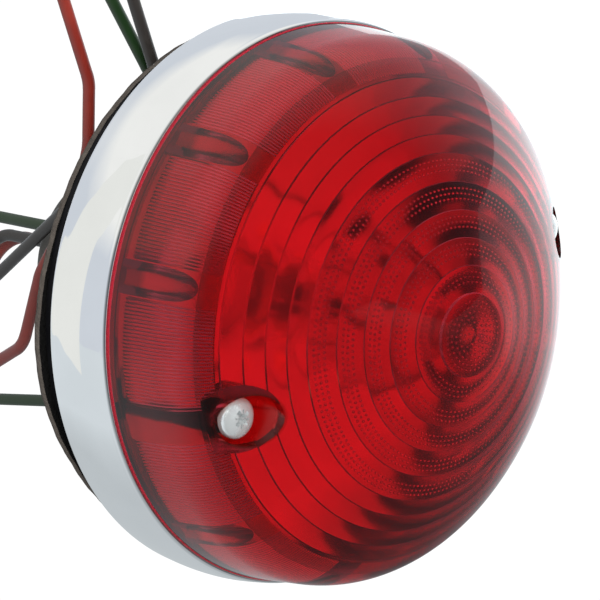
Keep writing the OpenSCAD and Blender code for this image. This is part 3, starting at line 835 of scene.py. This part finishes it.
def screw(name, node, body, s):
    """Pan head screw with a tapered cross recess, four tick marks between its arms and a threaded shank."""
    edge, top, twist, steps = WELL_FLOOR + 0.8, HEAD_TOP + 0.3, 0.35, 12
    profile = [(0, WELL_FLOOR), (HEAD_R - 0.12, WELL_FLOOR), (HEAD_R, WELL_FLOOR + 0.15), (HEAD_R, edge)]
    for i in range(1, steps):
        a = math.pi / 2 * i / steps
        profile.append((HEAD_R * math.cos(a) ** 0.8, edge + (HEAD_TOP - edge) * math.sin(a) ** 0.9))
    head = lathe(name, profile + [(0, HEAD_TOP)], 64)
    for quarter in range(4):
        turn = TURN * quarter / 4 + twist
        boolean(head, wedge(0.42, 0.25, 1.75, 0.75, HEAD_TOP - 1.5, top, turn), "DIFFERENCE")
    centre = rod("centre", 0.35, HEAD_TOP - 1.7, top, columns=16, top_r=0.95)
    boolean(head, centre, "DIFFERENCE")
    for quarter in range(4):
        turn = TURN * (quarter + 0.5) / 4 + twist
        boolean(head, wedge(0.12, 0.12, 1.5, 1.5, HEAD_TOP - 0.55, top, turn), "DIFFERENCE")
    shank = thread(1.48, 1.15, 1.0, WELL_FLOOR - 11.0, WELL_FLOOR + 0.1)
    piece = joined(name, [head, shank])
    piece.data.transform(Matrix.Translation((s * SCREW_AT * MM, 0, 0)))
    finish_piece(smooth(piece, 30), body, "zinc_plate", node)


def wedge(half_top, half_low, reach_top, reach_low, low, high, turn):
    """Tapered block from the axis outwards at angle turn, with a half width and a reach at each end."""
    verts = []
    for half, reach, front in ((half_low, reach_low, low), (half_top, reach_top, high)):
        for along, across in ((0, -half), (reach, -half), (reach, half), (0, half)):
            r, a = math.hypot(along, across), math.atan2(across, along) + turn
            verts.append(point(r, a, front))
    faces = [(0, 1, 2, 3), (4, 5, 6, 7), (0, 1, 5, 4), (1, 2, 6, 5), (2, 3, 7, 6), (3, 0, 4, 7)]
    return outward(mesh_object("wedge", verts, faces))


def thread(crest, root, pitch, low, high):
    """Screw thread as one closed helical surface with a pointed end."""
    columns, per_turn, point_h, tip_r = 24, 4, 2.0, 0.2
    count = int((high - low - point_h) / pitch * per_turn)
    levels = [low] + [low + point_h + i * pitch / per_turn for i in range(count + 1)]
    verts = []
    for k, level in enumerate(levels):
        for i in range(columns):
            phase = ((level - low) / pitch - i / columns) % 1.0
            r = root + (crest - root) * max(0.0, 1 - abs(phase - 0.5) * 3.2)
            verts.append(point(r if k else tip_r, TURN * i / columns, level))
    return outward(mesh_object("shank", verts, tube_faces(columns, len(levels))))


def strands(name, node):
    """Seven twisted copper strands along the bare end of a cable, spreading a little at the tip."""
    sides, rings, wire, apart, turns = 8, 40, 0.22, 0.44, 0.9
    data = np.array([v.co for v in frame["nodes"][node].data.vertices]) / MM
    middle = data.mean(0)
    along = np.linalg.svd(data - middle)[2][0]
    along = along if along[2] > 0 else -along
    half = np.abs((data - middle) @ along).max()
    side = np.cross(along, (0, 1, 0))
    side /= np.linalg.norm(side)
    other = np.cross(along, side)

    def spoke(a):
        return side * math.cos(a) + other * math.sin(a)

    verts, faces = [], []
    for strand in range(7):
        faces += tube_faces(sides, rings, strand * rings * sides)
        for k in range(rings):
            t = k / (rings - 1)
            spread = 1 + 0.5 * max(0, t - 0.7) ** 1.5 * (1 + 0.3 * strand)
            reach = half * (2 * t - 1) * (1 - 0.02 * (strand % 3) * (t > 0.5))
            off = apart * spread if strand else 0.0
            centre = middle + along * reach + spoke(TURN * (strand / 6 + t * turns)) * off
            verts += [(centre + spoke(TURN * i / sides) * wire) * MM for i in range(sides)]
    bundle = smooth(outward(mesh_object(name, verts, faces)), 50)
    return finish_piece(bundle, "base", "copper", node)


def contact_coil():
    """Round-wire spring with flat end turns behind the bulb contacts."""
    low, high = span("contact_spring")
    wire, turns, steps, sides = 0.45, 5.0, 40, 12
    r = (high.x - low.x) / 2 - wire
    start, end = -low.y - wire, -high.y + wire
    count = int(turns * steps)
    verts = []
    for k in range(count + 1):
        share = min(1.0, max(0.0, (k / steps - 0.5) / (turns - 1.0)))
        front = start + (end - start) * share
        for i in range(sides):
            a = TURN * i / sides
            verts.append(point(r + wire * math.cos(a), TURN * k / steps, front + wire * math.sin(a)))
    coil = smooth(outward(mesh_object("contact_coil", verts, tube_faces(sides, count + 1))), 50)
    finish_piece(coil, "contacts", "steel", "contact_spring")
    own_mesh(coil)


lens()
bezel()
gasket()
contact_coil()
boot()
screw("screw_l", "lens_screw_left", "screw_left", -1)
screw("screw_r", "lens_screw_right", "screw_right", 1)
for colour in ("green", "black", "red"):
    strands("strands_" + colour, "core_" + colour).visible_glossy = False

# The nodes no finished piece stands for are shown as they are, in their own materials.
slots = {part["node"]: part["material_slot"] for part in frame["record"]["subparts"]}
for name, obj in frame["nodes"].items():
    if obj.hide_render:
        continue
    paint(obj, MATERIALS[slots[name]])
    if name.startswith("cable_"):
        obj.visible_glossy = False


# ---- floor, light and camera ----
FLOOR_UP = span("lens")[0].z * MM


def surroundings(s, away):
    """How bright the room is in reflections, by direction: dim towards the camera, brighter on the right. On
    the floor's reflected glow this is painted light and shade.
    """
    split = s.split(away)
    front = s.ramp(split["Y"], -0.6, -0.05, 0.18, 1.0)
    right = s.calc("MULTIPLY", s.ramp(split["X"], 0.72, 0.96), s.ramp(split["Y"], 0.40, 0.15))
    return s.calc("MULTIPLY", front, s.ramp(right, 0.0, 1.0, 1.0, 1.2))


def floor():
    """Pale table under the lamp. The eye sees it evenly white; in reflections its glow carries a painted
    shadow under the lamp and painted light on its right side.
    """
    size, drop = 6.0, FLOOR_UP - 0.0003
    verts = [(-size, -size, drop), (size, -size, drop), (size, size, drop), (-size, size, drop)]
    obj = mesh_object("floor", verts, [(0, 1, 2, 3)])
    s = Shader("floor")
    place = s.place()
    # Painted shadow: the reflected glow darkens near the lamp.
    near = s.ramp(s.distance(place, (-0.03, 0.04, drop)), 0.045, 0.10, 0.60, 0.78)
    # Painted light: the reflected glow brightens on the right side.
    right = s.ramp(s.split(place)["X"], 0.0, 0.06, 0.0, 0.8)
    away = s.add("VectorMath", {0: place}, operation="NORMALIZE").outputs["Vector"]
    # The room's light by direction is painted on the glow too: darker towards the camera, brighter on the
    # right.
    level = s.calc("MULTIPLY", s.calc("ADD", near, right), surroundings(s, away))
    white = s.add("Emission", {"Color": rgb(1, 1, 1), "Strength": 1.05})
    pale = s.add("Emission", {"Color": rgb(0.90, 0.965, 1.0), "Strength": level})
    paint(obj, s.surface(s.mix(s.add("LightPath").outputs["Is Glossy Ray"], white, pale)))


def board():
    """Cream board standing behind the lamp on the left, seen only in the chrome."""
    near, step, low, top = Vector((-0.282, 0.19)), Vector((-0.263, 0.754)), FLOOR_UP, 1.6
    far = near + step * 2.2
    verts = [(*near, low), (*far, low), (*far, top), (*near, top)]
    obj = mesh_object("board", verts, [(0, 1, 2, 3)])
    s = Shader("board")
    cream = s.add("Emission", {"Color": rgb(0.86, 0.865, 0.825), "Strength": 1.0})
    paint(obj, s.surface(cream.outputs[0]))
    obj.visible_camera = False
    obj.visible_shadow = False
    obj.visible_diffuse = False
    obj.visible_transmission = False


def panel(name, place, size, colour, power):
    """Soft box: an area light facing the lamp, hidden from reflections and from rays through the lens."""
    light = bpy.data.lights.new(name, "AREA")
    light.shape = "RECTANGLE"
    light.size = light.size_y = size
    light.color = colour
    light.energy = power
    obj = bpy.data.objects.new(name, light)
    obj.location = place
    obj.rotation_euler = (Vector((0, -0.02, 0)) - Vector(place)).to_track_quat("-Z", "Y").to_euler()
    obj.visible_glossy = False
    obj.visible_transmission = False
    bpy.context.scene.collection.objects.link(obj)


def world():
    """White to the eye; in reflections pale blue behind, cream above and dark towards the camera."""
    s = Shader("studio", "World")
    away = s.add("TexCoord").outputs["Generated"]
    up = s.ramp(s.split(away)["Z"], 0.48, 0.64)
    colour = s.blend(up, rgb(0.66, 0.70, 0.755), rgb(0.93, 0.93, 0.90))
    seen = s.add("Background", {"Color": colour, "Strength": surroundings(s, away)})
    plain = s.add("Background", {"Color": rgb(1, 1, 1), "Strength": 1.0})
    shown = s.mix(s.add("LightPath").outputs["Is Glossy Ray"], plain, seen)
    bpy.context.scene.world = s.surface(shown)


def camera():
    """Long lens from the left front, looking down at the lamp."""
    data = bpy.data.cameras.new("camera")
    data.lens = 203.243
    data.sensor_width = 36
    obj = bpy.data.objects.new("camera", data)
    forward = Vector((0.6081146, 0.69467411, -0.38421936))
    up = Vector((0.4049008, 0.14488851, 0.90280821))
    turned = Matrix((forward.cross(up), up, -forward)).transposed().to_4x4()
    obj.matrix_world = Matrix.Translation((-0.34309, -0.40524, 0.21679)) @ turned
    bpy.context.scene.collection.objects.link(obj)
    bpy.context.scene.camera = obj


floor()
board()
world()
panel("key", (-0.6, -1.1, 0.7), 0.7, (1, 0.98, 0.95), 36)
panel("front", (0.5, -1.2, 0.2), 0.6, (1, 1, 1), 18)
camera()

scene = bpy.context.scene
scene.view_settings.view_transform = "Standard"
scene.cycles.use_denoising = True
scene.cycles.caustics_reflective = False
scene.cycles.caustics_refractive = False
scene.cycles.max_bounces = 24
scene.cycles.transmission_bounces = 18
scene.cycles.glossy_bounces = 8
scene.cycles.diffuse_bounces = 4
scene.cycles.transparent_max_bounces = 24
